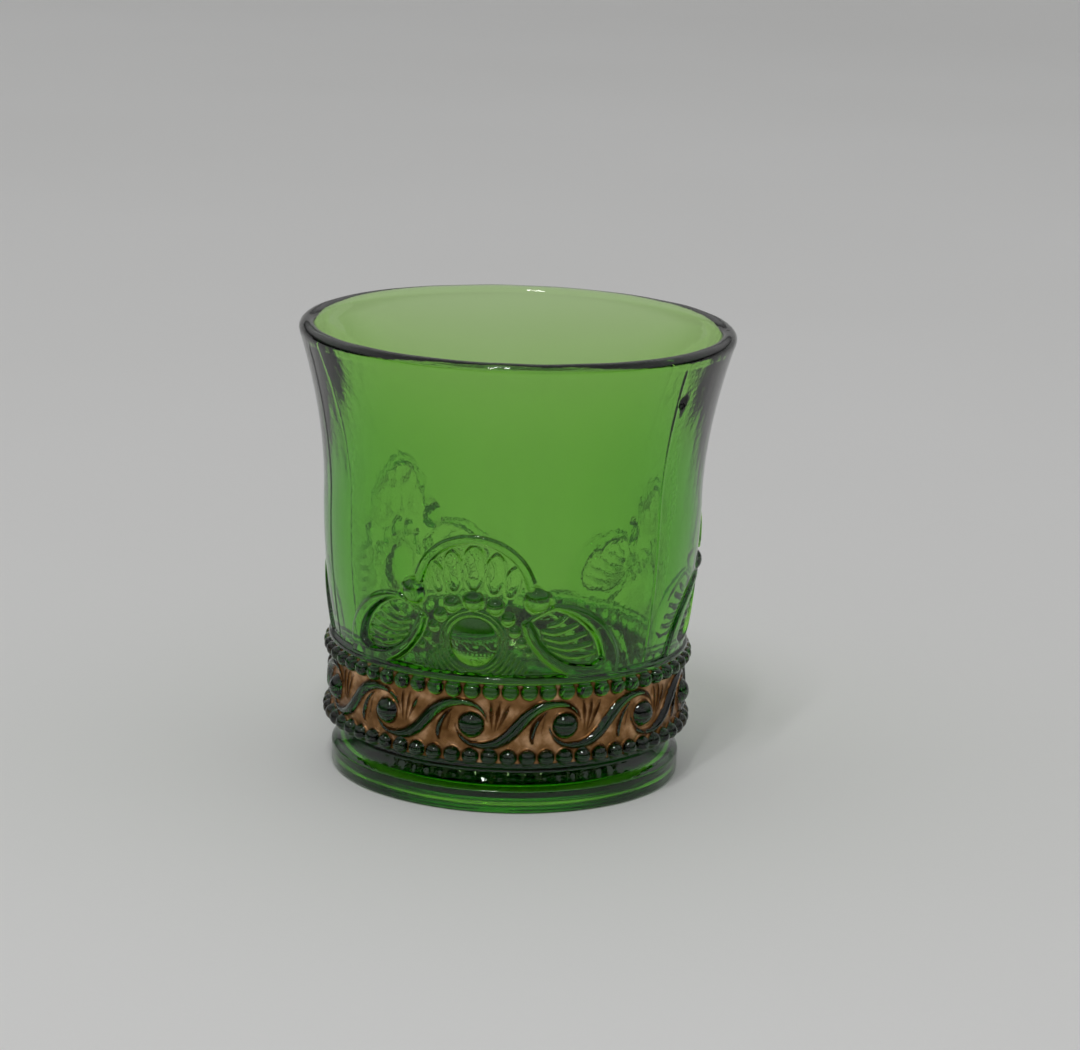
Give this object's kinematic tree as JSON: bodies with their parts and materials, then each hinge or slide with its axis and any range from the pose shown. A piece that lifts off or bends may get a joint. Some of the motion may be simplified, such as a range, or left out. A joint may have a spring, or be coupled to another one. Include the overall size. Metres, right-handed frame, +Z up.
{
  "type": "toothpick holder",
  "caption": "Small green pressed-glass tumbler with a flared rim, arched shell motifs, a beaded belt of gilded scrolls and a foot ring",
  "frame": {"origin": "centre of the face that the foot stands on", "axes": "+Z up along the axis of the glass, -Y towards the middle of one large motif, +X to the right of it"},
  "size_m": [0.0584, 0.0584, 0.061],
  "materials": {
    "green_glass": "fire-polished transparent green glass",
    "gilding": "worn coppery gold film"
  },
  "bodies": {
    "root": {"bowl": "green_glass", "foot": "green_glass", "upper_beads": "green_glass", "lower_beads": "green_glass", "scroll_ridges": "green_glass", "scroll_bosses": "green_glass", "scroll_leaves": "green_glass", "scroll_sprigs": "green_glass", "gilding": "gilding", "cabochons": "green_glass", "cabochon_rings": "green_glass", "medallion_beads": "green_glass", "fan_lobes": "green_glass", "arch_ridges": "green_glass", "arch_knobs": "green_glass", "leaf_borders": "green_glass", "leaf_ribs": "green_glass", "flank_arcs": "green_glass", "mould_seams": "green_glass"}
  },
  "joints": []
}
